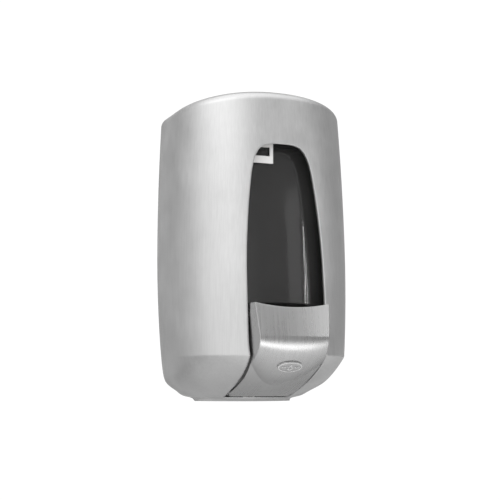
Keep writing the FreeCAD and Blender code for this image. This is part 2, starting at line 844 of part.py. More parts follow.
def tank_form(inset):
    foot = size.tank_foot.value + inset
    top = size.tank_top.value - inset
    steps = 6
    heights = [foot + (top - foot) * step / steps for step in range(steps + 1)]
    form = Part.makeLoft([tank_section(height, inset) for height in heights], True)
    run = size.tank_front_foot.value - size.tank_toe.value
    rise = size.tank_knee.value - size.tank_foot.value
    back_off = inset * math.hypot(run, rise) / rise
    toe = -size.tank_toe.value + back_off
    far = 2 * (run + back_off)
    low = foot - inset - 1
    slope = run / rise
    corners = [
        (0, toe + slope, low),
        (0, toe - far, low),
        (0, toe - far, low + 1 + far / slope),
        (0, toe + slope, low),
    ]
    wide = 2 * size.case_half.value
    wedge = prism(Part.Wire(line_edges(corners)), Vector(-wide / 2, 0, 0), Vector(wide, 0, 0))
    return form.cut(wedge)


def make_reservoir():
    shell = solid_feature("tank_shell", tank_form(0.0).cut(tank_form(size.tank_wall.value)))
    low = size.tank_foot - size.spigot_long
    spigot = cylinder("spigot", size.spigot_radius, size.spigot_long + 1, (0, -size.pump_out, low))
    axis_up = size.tank_top + size.lid_axis_rise
    parts = [shell, spigot]
    for side, name in ((1, "right"), (-1, "left")):
        low_x, high_x = sided(side, size.lid_pin_half - 6, size.lid_pin_half)
        at = (low_x, -size.lid_axis_out, axis_up)
        parts.append(cylinder(f"knuckle_{name}", size.lid_knuckle, dim(6), at, ALONG_X))
        back = -size.lid_axis_out + 1.5
        foot = (low_x, back - 3, size.tank_top - 1)
        parts.append(box(f"post_{name}", foot, (high_x, back, axis_up)))
    mouth = box(
        "filling_mouth",
        (-size.fill_half, -size.fill_front, size.tank_top - size.tank_wall * 2),
        (size.fill_half, -size.fill_back, size.tank_top + 1),
    )
    deep = size.spigot_long + size.tank_wall * 2
    bore = cylinder("spigot_hole", size.spigot_bore, deep, (0, -size.pump_out, low - 1))
    at = (-size.lid_pin_half, -size.lid_axis_out, axis_up)
    pin = cylinder("lid_pin_hole", size.lid_pin, size.lid_pin_half * 2, at, ALONG_X)
    return cut("tank_body", fuse("tank_parts", *parts), mouth, bore, pin)


def make_lid():
    under = size.tank_top + 0.3
    over = under + size.lid_thick
    axis_up = size.tank_top + size.lid_axis_rise
    knuckle_half = size.lid_pin_half - 6 - size.side_play
    front = -(size.fill_front + 2.5)
    back = -size.lid_axis_out - size.lid_knuckle - 0.7
    plate = box("lid_plate", (-size.lid_half, front, under), (size.lid_half, back, over))
    tongue = box("lid_tongue", (-knuckle_half, back - 1, under), (knuckle_half, back + 2.2, over))
    at = (-knuckle_half, -size.lid_axis_out, axis_up)
    knuckle = cylinder("lid_knuckle_tube", size.lid_knuckle, knuckle_half * 2, at, ALONG_X)
    skirt = box(
        "lid_skirt",
        (-size.fill_half + 0.6, -size.fill_front + 2, under - 3.5),
        (size.fill_half - 0.6, -size.fill_back - 0.6, under + 0.5),
    )
    skirt_wall = 1.6
    skirt_hole = box(
        "lid_skirt_hole",
        (-size.fill_half + 0.6 + skirt_wall, -size.fill_front + 2 + skirt_wall, under - 4.5),
        (size.fill_half - 0.6 - skirt_wall, -size.fill_back - 0.6 - skirt_wall, under),
    )
    bore = cylinder(
        "lid_bore",
        size.lid_pin + size.running,
        knuckle_half * 2 + 2,
        (-knuckle_half - 1, -size.lid_axis_out, axis_up),
        ALONG_X,
    )
    whole = fuse("lid_parts", plate, tongue, knuckle, skirt)
    return cut("lid_body", whole, skirt_hole, bore)


def make_lid_pull():
    """A finger loop that hangs from the lid's front edge, in front of the reservoir."""
    under = size.tank_top + 0.3
    over = under + size.lid_thick
    rise = (size.tank_top - size.lean_height) / (size.case_height - size.lean_height)
    cover_front = size.front_depth - size.front_lean * rise - size.front_bow * rise * rise
    tank_head = cover_front - size.cover_wall - size.tank_gap
    up = (size.loop_foot - size.tank_knee) / (size.tank_top - size.tank_knee)
    tank_skin = size.tank_front_foot + (tank_head - size.tank_front_foot) * up
    back = -(tank_skin + size.loop_gap)
    front = back - size.loop_thick
    lid_front = -(size.fill_front + 2.5)
    left = -size.loop_left
    right = -size.loop_right
    neck = box("pull_neck", (left, front, under), (right, lid_front, over))
    loop = box("pull_plate", (left, front, size.loop_foot), (right, back, over))
    eye = box(
        "pull_eye",
        (left + size.loop_bar, front - 1, size.loop_foot + size.loop_rail),
        (right - size.loop_bar, back + 0.5, under - 1),
    )
    return cut("pull_body", fuse("pull_parts", neck, loop), eye)


piece("reservoir", make_reservoir())
piece("reservoir_lid", make_lid())
piece("lid_pull", make_lid_pull())
lid_pin_at = (-size.lid_pin_half, -size.lid_axis_out, size.tank_top + size.lid_axis_rise)
piece(
    "lid_pin",
    cylinder("lid_pin_rod", size.lid_pin, size.lid_pin_half * 2, (0, 0, 0)),
    lid_pin_at,
    ALONG_X,
)


# ---- Push button --------------------------------------------------------------------


def between(low, high, share):
    return [a + (b - a) * share for a, b in zip(low, high)]


def flange_depth(across, height, inset):
    """Depth of the button's chin flange, which follows the cover's chin."""
    step = 0.5
    lean = (surface_depth(across, height + step) - surface_depth(across, height - step)) / (2 * step)
    return surface_depth(across, height) + size.flange_proud.value - inset * math.hypot(1, lean)


def button_profile(across, inset):
    """The button cut along its height: face, rounded belly, chin flange, open back.

    Each place is (depth, height). inset draws the hollow instead of the outside.
    """
    half = size.button_head_half.value
    share = min(1.0, (across / half) ** 2)
    bulge = size.button_bulge.value * (1 - share)
    top = size.button_top.value + (5.0 if inset else 3.0)
    bend = size.bend_height.value
    low_face = size.button_face_low.value + bulge - inset
    slope = (size.button_face_low.value - size.button_face_top.value) / (size.button_top.value - bend)
    face = [(low_face - slope * (height - bend), height) for height in (top, (top + bend) / 2)]
    foot = size.belly_foot.value + size.belly_rise.value * share + inset
    heel = (flange_depth(across, foot, inset), foot)
    drop = bend - foot
    knee = between((low_face + 0.5, bend - 0.39 * drop), (low_face, bend - 0.37 * drop), share)
    toe_reach = (low_face - heel[0]) * (0.61 - 0.01 * share)
    toe = (heel[0] + toe_reach, foot + drop * (0.10 + 0.08 * share))
    belly = Part.BezierCurve()
    belly.setPoles([Vector(across, -deep, up) for deep, up in ((low_face, bend), knee, toe, heel)])
    end = size.button_foot.value + (size.button_wall.value if inset else 0.0)
    steps = 4
    chin = [foot + (end - foot) * step / steps for step in range(steps + 1)]
    chin = [(across, -flange_depth(across, height, inset), height) for height in chin]
    skin = [
        smooth_edge([(across, -d, z) for d, z in face + [(low_face, bend)]]),
        belly.toShape(),
        smooth_edge(chin),
    ]
    if inset:
        inner = [(size.wall_gap.value, end), (size.wall_gap.value, top)]
    else:
        ear = size.pivot_ear.value
        pivot = size.pivot_out.value
        inner = [
            (-chin[-1][1] - 2.5 * size.button_wall.value, end + 0.6),
            (size.press_face.value - 8, 22.0),
            (pivot - 1, size.bend_height.value - 8),
            (pivot - ear, size.pivot_up.value - ear),
            (pivot - ear, size.pivot_up.value + ear / 2),
            (pivot + 2, size.pivot_up.value + ear + 2),
            (pivot + 4, top),
        ]
    corners = [chin[-1]] + [(across, -deep, height) for deep, height in inner]
    corners.append((across, -face[0][0], face[0][1]))
    return Part.Wire(skin + line_edges(corners))


def button_form(inset):
    reach = size.button_head_half.value + (0.0 if inset else 1.0) - inset
    steps = 8
    places = [-reach + 2 * reach * step / steps for step in range(steps + 1)]
    return Part.makeLoft([button_profile(across, inset) for across in places], True)


def button_outline(inset, flare, out):
    """The button seen from the front, drawn this far out: a sagging top and flared sides."""
    head = size.button_head_half.value + size.head_flare.value * flare - inset
    hip = size.button_half.value + size.waist_flare.value * flare - inset
    half = size.button_half.value - inset
    top = size.button_top.value - inset
    foot = size.button_foot.value + inset
    waist = size.button_waist.value
    corner = 3.0
    middle = Vector(0, -out, top - size.button_sag.value)
    arc = Part.Arc(Vector(head, -out, top), middle, Vector(-head, -out, top))
    left = [
        (-head, -out, top),
        (-hip, -out, waist),
        (-half, -out, waist / 2),
        (-half, -out, foot + corner),
        (corner - half, -out, foot),
    ]
    around = left + [(-x, y, z) for x, y, z in reversed(left)]
    return Part.Wire([arc.toShape()] + line_edges(around))


def button_front(inset):
    """Everything inside that outline, whose sides flare out towards the cover."""
    face = size.button_face_low.value
    skin = size.flare_out.value
    past = 6.5
    narrow = button_outline(inset, -past / (face - skin), face + past)
    wide = button_outline(inset, 1.0, skin)
    sides = Part.makeLoft([wide, narrow], True, True)
    behind = prism(wide, Vector(0, 0, 0), Vector(0, skin + 1, 0))
    return sides.fuse(behind)


def make_button():
    wall = size.button_wall.value
    outside = button_form(0.0).common(button_front(0.0))
    hollow = button_form(wall).common(button_front(wall))
    line = size.pump_line.value
    reach = size.pad_reach.value
    pad_half = size.pad_half.value
    face = size.press_face.value
    pad = Part.makeBox(2 * pad_half, face, 2 * reach, Vector(-pad_half, -2 * face, line - reach))
    whole = outside.cut(hollow).fuse(pad.common(outside))
    bore = Part.makeCylinder(
        size.pivot_pin.value + size.running.value,
        4 * size.button_half.value,
        Vector(-2 * size.button_half.value, -size.pivot_out.value, size.pivot_up.value),
        Vector(1, 0, 0),
    )
    return whole.cut(bore).Solids[0]


def make_badge():
    """A plain oval badge that lies on the belly."""
    thick = size.badge_thick.value
    oval = Part.Ellipse(Vector(0, 0, 0), size.badge_half.value, size.badge_half_up.value)
    deep = size.front_depth.value / 2
    stick = Part.Face(Part.Wire(oval.toShape())).extrude(Vector(0, 0, deep))
    tilt = 40
    stick.rotate(Vector(0, 0, 0), Vector(1, 0, 0), 90 + tilt)
    middle = Vector(0, -size.button_face_low.value + 12, size.badge_height.value)
    stick.translate(middle)
    return stick.common(button_form(-thick)).cut(button_form(0.0)).Solids[0]


piece("push_button", solid_feature("button_body", make_button()))
piece("button_badge", solid_feature("badge_body", make_badge()))


# ---- Pump ---------------------------------------------------------------------------


def along_pump(name, radius, near, far):
    """A round bar on the plunger's line, from near to far from the wall."""
    at = (0, -dim(near), size.pump_line)
    return cylinder(name, radius, dim(far) - near, at, ALONG_FRONT)


def upright(name, radius, low, high):
    """A round bar on the inlet and nozzle line, from low to high."""
    return cylinder(name, radius, dim(high) - low, (0, -size.pump_out, low))


spigot_foot = size.tank_foot - size.spigot_long
cup_floor = spigot_foot - size.gasket_thick
cup_bore = size.spigot_radius + size.side_play
cup_radius = cup_bore + size.cup_wall
ball_middle = size.pump_line + size.pump_bore + size.cage_thick + size.ball_radius - 0.1
chamber_foot = size.pump_line + size.pump_bore
chamber_top = ball_middle + size.ball_radius + 0.4
barrel_radius = size.pump_bore + size.pump_wall
barrel_floor = size.barrel_back + size.pump_wall


def make_pump_body():
    whole = fuse(
        "pump_parts",
        along_pump("barrel", barrel_radius, size.barrel_back, size.barrel_front),
        upright("inlet_neck", size.cage_radius + size.cup_wall, size.pump_line, cup_floor + 0.5),
        upright("inlet_cup", cup_radius, cup_floor - size.cup_wall, cup_floor + size.cup_high),
        upright("outlet_boss", size.outlet_radius, size.outlet_foot, size.pump_line),
    )
    return cut(
        "pump_shape",
        whole,
        along_pump("pump_bore_hole", size.pump_bore, barrel_floor, size.barrel_front + 1),
        upright("cup_hole", cup_bore, cup_floor, cup_floor + size.cup_high + 1),
        upright("ball_chamber", size.cage_radius, size.pump_line, chamber_top),
        upright("seat", size.seat_hole, size.pump_line, cup_floor + 1),
        upright("outlet_hole", size.outlet_bore, size.outlet_foot - 1, size.pump_line),
    )


def make_cap():
    skirt = size.barrel_front - size.cap_skirt
    return cut(
        "cap_shape",
        along_pump("cap_outside", size.cap_radius, skirt, size.cap_front),
        along_pump("cap_inside", barrel_radius, skirt - 1, size.barrel_front),
        along_pump("rod_hole", size.rod_radius + size.running, skirt, size.cap_front + 1),
    )


def make_plunger():
    """Piston, rod, spring collar and rounded tip, turned about the plunger's line."""
    piston = size.pump_bore - size.side_play + 0.1
    groove = piston - size.seal_deep
    groove_back = (size.piston_long - size.seal_width) / 2
    tip = size.press_face - size.press_gap - size.piston_back
    collar = tip - 3.6
    rounding = 1.5
    outline = [
        (ZERO, ZERO),
        (piston, ZERO),
        (piston, groove_back),
        (groove, groove_back),
        (groove, groove_back + size.seal_width),
        (piston, groove_back + size.seal_width),
        (piston, size.piston_long),
        (size.rod_radius, size.piston_long),
        (size.rod_radius, collar - size.collar_thick),
        (size.collar_radius, collar - size.collar_thick),
        (size.collar_radius, collar),
        (size.rod_radius, collar),
        (size.rod_radius, tip - rounding),
        (size.rod_radius - rounding, tip),
        (ZERO, tip),
    ]
    return turned("plunger_shape", outline)


def make_seal():
    inner = size.pump_bore - size.side_play + 0.1 - size.seal_deep
    outer = size.pump_bore - size.running
    lip = size.seal_width / 4
    outline = [
        (inner, ZERO),
        (outer - lip, ZERO),
        (outer, lip),
        (outer, size.seal_width - lip),
        (outer - lip, size.seal_width),
        (inner, size.seal_width),
    ]
    return turned("seal_shape", outline)


def make_spring():
    """A helix from the barrel cap to the plunger's collar, along its own Z."""
    long = (size.press_face - size.press_gap - size.cap_front).value - 3.6 - size.collar_thick.value
    wire = size.spring_wire.value
    run = long - 2 * wire
    helix = Part.makeLongHelix(run / size.spring_turns.value, run, size.spring_radius.value)
    helix.translate(Vector(0, 0, wire))
    start = Vector(size.spring_radius.value, 0, wire)
    ring = Part.Wire(Part.makeCircle(wire, start, Vector(0, 1, 0)))
    return Part.Wire(helix).makePipeShell([ring], True, True)


piece("pump_body", make_pump_body())
piece("barrel_cap", make_cap())
piece("plunger", make_plunger(), (0, -size.piston_back, size.pump_line), ALONG_FRONT)
seal_back = size.piston_back + (size.piston_long - size.seal_width) / 2
piece("plunger_seal", make_seal(), (0, -seal_back, size.pump_line), ALONG_FRONT)
spring = solid_feature("spring_shape", make_spring())
piece("return_spring", spring, (0, -size.cap_front, size.pump_line), ALONG_FRONT)

gasket_outline = [
    (size.spigot_bore, ZERO),
    (size.spigot_radius, ZERO),
    (size.spigot_radius, size.gasket_thick),
    (size.spigot_bore, size.gasket_thick),
]
piece("outlet_gasket", turned("gasket_shape", gasket_outline), (0, -size.pump_out, cup_floor))

ball = document.addObject("Part::Sphere", "ball_shape")
bind(ball, "Radius", size.ball_radius)
piece("inlet_ball", ball, (0, -size.pump_out, ball_middle))

retainer_outline = [
    (size.cage_hole, ZERO),
    (size.cage_radius, ZERO),
    (size.cage_radius, size.cage_thick),
    (size.cage_hole, size.cage_thick),
]
retainer = turned("retainer_shape", retainer_outline)
piece("ball_retainer", retainer, (0, -size.pump_out, chamber_foot))


# ---- Nozzle and outlet valve --------------------------------------------------------

bill_top = size.outlet_foot - size.valve_thick
nozzle_inner = size.outlet_radius
nozzle_outer = nozzle_inner + size.nozzle_wall
nozzle_outline = [
    (size.nozzle_tip - 0.6, size.nozzle_foot),
    (size.nozzle_tip, size.nozzle_foot),
    (nozzle_outer, bill_top - 1),
    (nozzle_outer, size.nozzle_top),
    (nozzle_inner, size.nozzle_top),
    (nozzle_inner, bill_top),
    (size.nozzle_tip - 0.6, bill_top),
]
piece("nozzle", turned("nozzle_shape", nozzle_outline), (0, -size.pump_out, 0))


def make_outlet_valve():
    """A disc with a cone bill below it, slit across its tip."""
    bill_tip = size.valve_bill - 1
    at = (0, -size.pump_out, size.valve_foot)
    whole = fuse(
        "valve_parts",
        upright("valve_disc", nozzle_inner - 0.1, bill_top, size.outlet_foot),
        cone("valve_bill_cone", bill_tip, size.valve_bill, bill_top - size.valve_foot, at),
    )
    slit = 0.3
    low = (-size.valve_bill, -size.pump_out - slit / 2, size.valve_foot - 1)
    high = (size.valve_bill, -size.pump_out + slit / 2, size.valve_foot + 2)
    throat = upright("valve_throat", bill_tip - 0.6, size.valve_foot + 1.5, size.outlet_foot + 1)
    return cut("valve_shape", whole, box("valve_slit", low, high), throat)


piece("outlet_valve", make_outlet_valve())


# ---- Pump bracket and its screws ----------------------------------------------------


def make_bracket():
    """A plate that clamps the barrel, with a cheek on each side of it."""
    half = size.bracket_half
    outline = [
        (-half, size.bracket_foot),
        (half, size.bracket_foot),
        (half, size.bracket_top),
        (-half, size.bracket_top),
    ]
    holes = [(x, z, size.screw_radius) for x, z in bracket_screw_places()]
    plate = padded("bracket_plate", outline, size.bracket_thick, holes)
    plate.Placement.Base = Vector(0, -size.plate_thick.value, 0)
    plate.setExpression("Placement.Base.y", (-size.plate_thick).text)
    cheeks = []
    for side, name in ((1, "right"), (-1, "left")):
        low_x, high_x = sided(side, barrel_radius, barrel_radius + size.bracket_thick)
        low = (low_x, -size.cheek_front, size.pump_line - size.cheek_reach)
        high = (high_x, -size.plate_thick - 0.5, size.pump_line + size.cheek_reach)
        cheeks.append(box(f"cheek_{name}", low, high))
    return fuse("bracket_shape", plate, *cheeks)


def make_screws():
    """Four pan-head screws with their shanks in the back plate."""
    front = size.plate_thick + size.bracket_thick
    screws = []
    for index, (x, z) in enumerate(bracket_screw_places()):
        high = size.screw_head_high
        low = (x, -front, z)
        head = cylinder(f"head_{index}", size.screw_head, high, low, ALONG_FRONT)
        at = (x, -dim(0.5), z)
        shank = cylinder(f"shank_{index}", size.screw_radius, front, at, ALONG_FRONT)
        socket_at = (x, -front - high + 1.1, z)
        socket = cylinder(f"socket_{index}", size.screw_radius, dim(2), socket_at, ALONG_FRONT)
        screws.append(cut(f"screw_{index}", fuse(f"screw_parts_{index}", head, shank), socket))
    return fuse("screws_shape", *screws)


piece("pump_bracket", make_bracket())
piece("bracket_screws", make_screws())


# ---- Hinge pins ---------------------------------------------------------------------


def make_pin_pair(name, radius, inner, outer, out, up):
    pins = []
    for side, hand in ((1, "right"), (-1, "left")):
        low, _ = sided(side, dim(inner), dim(outer))
        at = (low, -out, up)
        pins.append(cylinder(f"{name}_{hand}", radius, dim(outer) - inner, at, ALONG_X))
    return fuse(f"{name}_pair", *pins)


lug_inner = size.lug_outer - size.lug_thick
boss_end = size.lug_outer + size.side_play + size.boss_depth
hinge_line = (size.hinge_out, size.hinge_up)
pivot_line = (size.pivot_out, size.pivot_up)
piece("hinge_pins", make_pin_pair("hinge", size.hinge_pin, lug_inner, boss_end, *hinge_line))
ear_outer = size.ear_inner + size.ear_thick
button_inner = size.button_half - size.button_wall
piece("button_pins", make_pin_pair("pivot", size.pivot_pin, button_inner, ear_outer, *pivot_line))


# ---- Lock ---------------------------------------------------------------------------


def lock_bar(name, radius, low, high):
    return cylinder(name, radius, dim(high) - low, (0, -size.lock_out, low))


lock_top = size.case_height
flange_top = lock_top + size.lock_flange_high
nut_top = lock_top - size.cover_wall - 0.4
plug_foot = size.lock_foot + 1
cam_foot = size.lock_foot - size.cam_thick


def make_lock_barrel():
    return cut(
        "lock_barrel_shape",
        fuse(
            "lock_barrel_parts",
            lock_bar("lock_tube", size.lock_radius, size.lock_foot, lock_top),
            lock_bar("lock_rim", size.lock_flange, lock_top, flange_top),
        ),
        lock_bar("plug_hole", size.plug_radius + size.running, plug_foot, flange_top + 1),
        lock_bar("stud_hole", size.stud_radius + size.running, size.lock_foot - 1, plug_foot + 1),
    )


def make_lock_plug():
    whole = fuse(
        "lock_plug_parts",
        lock_bar("plug", size.plug_radius, plug_foot + 0.3, flange_top),
        lock_bar("stud", size.stud_radius, cam_foot, plug_foot + 1),
    )
    low = (-size.key_wide / 2, -size.lock_out - size.key_long / 2, flange_top - size.key_deep)
    high = (size.key_wide / 2, -size.lock_out + size.key_long / 2, flange_top + 1)
    return cut("lock_plug_shape", whole, box("keyway", low, high))


def make_lock_nut():
    nut = document.addObject("Part::Prism", "nut_block")
    nut.Polygon = 6
    bind(nut, "Circumradius", size.nut_radius)
    bind(nut, "Height", size.nut_high)
    low = nut_top - size.nut_high
    place(nut, (0, -size.lock_out, low))
    hole = lock_bar("nut_hole", size.lock_radius, low - 1, nut_top + 1)
    return cut("lock_nut_shape", nut, hole)


def make_cam():
    low = (-size.cam_half, -size.lock_out, cam_foot)
    high = (size.cam_half, size.cam_reach - size.lock_out, size.lock_foot)
    whole = fuse(
        "cam_parts",
        lock_bar("cam_round", size.cam_half + 1, cam_foot, size.lock_foot),
        box("cam_arm", low, high),
    )
    return cut("cam_shape", whole, lock_bar("cam_hole", size.stud_radius, cam_foot - 1, size.lock_foot + 1))


def make_cam_screw():
    head = lock_bar("cam_screw_head", size.stud_radius + 0.6, cam_foot - 2, cam_foot)
    socket = lock_bar("cam_screw_socket", size.screw_radius, cam_foot - 3, cam_foot - 0.8)
    return cut("cam_screw_shape", head, socket)


piece("lock_barrel", make_lock_barrel())
piece("lock_plug", make_lock_plug())
piece("lock_nut", make_lock_nut())
piece("lock_cam", make_cam())
piece("cam_screw", make_cam_screw())


# ---- Checks and export --------------------------------------------------------------

document.recompute()
for thing in document.Objects:
    if {"Invalid", "Error"} & set(thing.State):
        raise RuntimeError(f"{thing.Name} did not recompute: {thing.State}")
os.makedirs("parts", exist_ok=True)
for thing in PIECES:
    if thing.Shape.isNull() or not thing.Shape.isValid():
        raise RuntimeError(f"{thing.Label} has no valid shape")
    thing.Shape.exportStep(f"parts/{thing.Label}.step")
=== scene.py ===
import json
import math

import bpy
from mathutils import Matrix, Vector
from mathutils.bvhtree import BVHTree


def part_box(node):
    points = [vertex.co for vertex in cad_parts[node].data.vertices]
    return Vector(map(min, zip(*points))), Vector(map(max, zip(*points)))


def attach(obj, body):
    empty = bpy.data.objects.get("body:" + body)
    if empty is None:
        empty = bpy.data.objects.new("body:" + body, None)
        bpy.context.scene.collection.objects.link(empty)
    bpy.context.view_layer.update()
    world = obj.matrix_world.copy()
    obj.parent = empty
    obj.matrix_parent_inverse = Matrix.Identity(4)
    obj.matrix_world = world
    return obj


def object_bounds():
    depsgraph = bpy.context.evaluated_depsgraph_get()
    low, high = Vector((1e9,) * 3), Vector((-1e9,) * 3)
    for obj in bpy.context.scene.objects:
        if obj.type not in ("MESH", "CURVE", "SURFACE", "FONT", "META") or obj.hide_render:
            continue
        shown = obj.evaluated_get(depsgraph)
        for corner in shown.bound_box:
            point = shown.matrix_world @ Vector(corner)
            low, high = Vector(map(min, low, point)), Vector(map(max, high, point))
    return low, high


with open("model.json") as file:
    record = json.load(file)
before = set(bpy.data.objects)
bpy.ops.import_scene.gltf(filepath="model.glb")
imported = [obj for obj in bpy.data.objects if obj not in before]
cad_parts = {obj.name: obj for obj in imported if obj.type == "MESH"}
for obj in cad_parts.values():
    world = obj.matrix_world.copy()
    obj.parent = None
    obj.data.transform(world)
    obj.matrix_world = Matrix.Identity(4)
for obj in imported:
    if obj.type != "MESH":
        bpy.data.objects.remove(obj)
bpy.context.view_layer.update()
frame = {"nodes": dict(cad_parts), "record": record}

NODES = frame["nodes"]
MM = 0.001

# How strongly the fine grain and the broad smears show as relief.
GRAIN_STRENGTH = 0.6
SMEAR_STRENGTH = 0.5
SMEAR_SCALE = (35, 35, 35)
BEVEL_SAMPLES = 4
NOISE_ROUGHNESS = 0.55


# ---- Materials ----------------------------------------------------------------------


def new_material(name):
    """An empty node material with one principled shader."""
    material = bpy.data.materials.new(name)
    material.use_nodes = True
    tree = material.node_tree
    tree.nodes.clear()
    out = tree.nodes.new("ShaderNodeOutputMaterial")
    shader = tree.nodes.new("ShaderNodeBsdfPrincipled")
    tree.links.new(shader.outputs["BSDF"], out.inputs["Surface"])
    return material, tree, shader


def object_space(tree, scale):
    """Object coordinates in metres, stretched per axis."""
    coords = tree.nodes.new("ShaderNodeTexCoord")
    mapping = tree.nodes.new("ShaderNodeMapping")
    mapping.inputs["Scale"].default_value = scale
    tree.links.new(coords.outputs["Object"], mapping.inputs["Vector"])
    return mapping.outputs["Vector"]


def noise(tree, scale, detail=4.0):
    """Noise whose scale is cells per metre along each axis."""
    texture = tree.nodes.new("ShaderNodeTexNoise")
    texture.inputs["Scale"].default_value = 1.0
    texture.inputs["Detail"].default_value = detail
    texture.inputs["Roughness"].default_value = NOISE_ROUGHNESS
    tree.links.new(object_space(tree, scale), texture.inputs["Vector"])
    return texture.outputs["Fac"]


def spread(tree, value, low, high, start=0.3, end=0.7):
    """The value, stretched from start..end to low..high."""
    remap = tree.nodes.new("ShaderNodeMapRange")
    remap.inputs["From Min"].default_value = start
    remap.inputs["From Max"].default_value = end
    remap.inputs["To Min"].default_value = low
    remap.inputs["To Max"].default_value = high
    tree.links.new(value, remap.inputs["Value"])
    return remap.outputs["Result"]


def colour_ramp(tree, value, low, high, start=0.3, end=0.7):
    """A colour between low and high, by the value."""
    ramp = tree.nodes.new("ShaderNodeValToRGB")
    ramp.color_ramp.elements[0].position = start
    ramp.color_ramp.elements[0].color = (*low, 1)
    ramp.color_ramp.elements[1].position = end
    ramp.color_ramp.elements[1].color = (*high, 1)
    tree.links.new(value, ramp.inputs["Fac"])
    return ramp.outputs["Color"]


def finish_surface(tree, shader, grain, grain_depth, smear, round_edge):
    """Fine bump over edges that read as rounded."""
    bevel = tree.nodes.new("ShaderNodeBevel")
    bevel.samples = BEVEL_SAMPLES
    bevel.inputs["Radius"].default_value = round_edge
    bump = tree.nodes.new("ShaderNodeBump")
    bump.inputs["Strength"].default_value = GRAIN_STRENGTH
    bump.inputs["Distance"].default_value = grain_depth
    tree.links.new(grain, bump.inputs["Height"])
    tree.links.new(bevel.outputs["Normal"], bump.inputs["Normal"])
    soft = tree.nodes.new("ShaderNodeBump")
    soft.inputs["Strength"].default_value = SMEAR_STRENGTH
    soft.inputs["Distance"].default_value = grain_depth * 2
    tree.links.new(smear, soft.inputs["Height"])
    tree.links.new(bump.outputs["Normal"], soft.inputs["Normal"])
    tree.links.new(soft.outputs["Normal"], shader.inputs["Normal"])


def surface(
    name,
    low,
    high,
    rough=(0.3, 0.4),
    grain=(900, 900, 900),
    depth=2e-6,
    metallic=0.0,
    edge=0.4 * MM,
    **sockets,
):
    """A procedural finish: low and high are the colour's ends."""
    material, tree, shader = new_material(name)
    fine = noise(tree, grain)
    broad = noise(tree, SMEAR_SCALE, detail=3.0)
    shader.inputs["Metallic"].default_value = metallic
    blend = tree.nodes.new("ShaderNodeMath")
    blend.operation = "MULTIPLY_ADD"
    blend.inputs[1].default_value = 0.5
    tree.links.new(fine, blend.inputs[0])
    half = tree.nodes.new("ShaderNodeMath")
    half.operation = "MULTIPLY"
    half.inputs[1].default_value = 0.5
    tree.links.new(broad, half.inputs[0])
    tree.links.new(half.outputs[0], blend.inputs[2])
    tree.links.new(spread(tree, blend.outputs[0], *rough), shader.inputs["Roughness"])
    tree.links.new(colour_ramp(tree, blend.outputs[0], low, high), shader.inputs["Base Color"])
    finish_surface(tree, shader, fine, depth, broad, edge)
    for socket, value in sockets.items():
        shader.inputs[socket.replace("_", " ")].default_value = value
    if "Anisotropic" in sockets:
        tangent = tree.nodes.new("ShaderNodeTangent")
        tangent.direction_type = "RADIAL"
        tangent.axis = "Z"
        tree.links.new(tangent.outputs["Tangent"], shader.inputs["Tangent"])
    return material


def grey(level, warm=0.0):
    return (level * (1 + warm), level, level * (1 - warm))


metal_cover = surface(
    "satin_cover", grey(0.53), grey(0.64), rough=(0.32, 0.46),
    grain=(900, 900, 36), depth=2.2e-5, metallic=1.0, edge=1.8 * MM, Anisotropic=0.5,
)
metal_button = surface(
    "satin_button", grey(0.43), grey(0.51), rough=(0.24, 0.33),
    grain=(1000, 40, 14), depth=6e-6, metallic=1.0, edge=1.0 * MM,
)
badge_metal = surface(
    "badge_metal", grey(0.42), grey(0.5), rough=(0.3, 0.4), grain=(1500, 60, 60),
    depth=2e-6, metallic=1.0, edge=0.3 * MM,
)
black_plastic = surface(
    "black_plastic", grey(0.018), grey(0.026), rough=(0.45, 0.6), grain=(2500, 2500, 2500),
    depth=8e-6, edge=0.5 * MM,
)
zinc = surface(
    "zinc_sheet", grey(0.5), grey(0.66, 0.01), rough=(0.28, 0.45), grain=(300, 300, 300),
    depth=4e-6, metallic=1.0, edge=0.2 * MM,
)
steel = surface(
    "bright_steel", grey(0.55), grey(0.65), rough=(0.16, 0.28), grain=(1500, 200, 1500),
    depth=2e-6, metallic=1.0, edge=0.2 * MM,
)
smoked = surface(
    "smoked_tank", grey(0.10, 0.01), grey(0.13, 0.01), rough=(0.04, 0.09),
    grain=(500, 500, 500), depth=1e-6, edge=0.8 * MM, Transmission_Weight=0.75, IOR=1.45,
)
white_plastic = surface(
    "white_plastic", grey(0.83, 0.01), grey(0.88, 0.01), rough=(0.28, 0.38),
    grain=(1800, 1800, 1800), depth=3e-6, edge=0.3 * MM,
)
pump_plastic = surface(
    "pump_plastic", grey(0.70, 0.02), grey(0.77, 0.02), rough=(0.35, 0.45),
    grain=(1800, 1800, 1800), depth=4e-6, edge=0.3 * MM,
)
dark_plastic = surface(
    "dark_plastic", grey(0.02), grey(0.03), rough=(0.25, 0.4), grain=(1500, 1500, 1500),
    depth=3e-6, edge=0.4 * MM,
)
rubber = surface(
    "seal_rubber", grey(0.02), grey(0.03), rough=(0.6, 0.75), grain=(2200, 2200, 2200),
    depth=8e-6, edge=0.2 * MM,
)
silicone = surface(
    "valve_silicone", grey(0.5), grey(0.58), rough=(0.4, 0.5), grain=(1500, 1500, 1500),
    depth=4e-6, edge=0.2 * MM,
)
lock_metal = surface(
    "lock_metal", grey(0.58), grey(0.66), rough=(0.18, 0.28), grain=(900, 900, 900),
    depth=2e-6, metallic=1.0, edge=0.3 * MM,
)

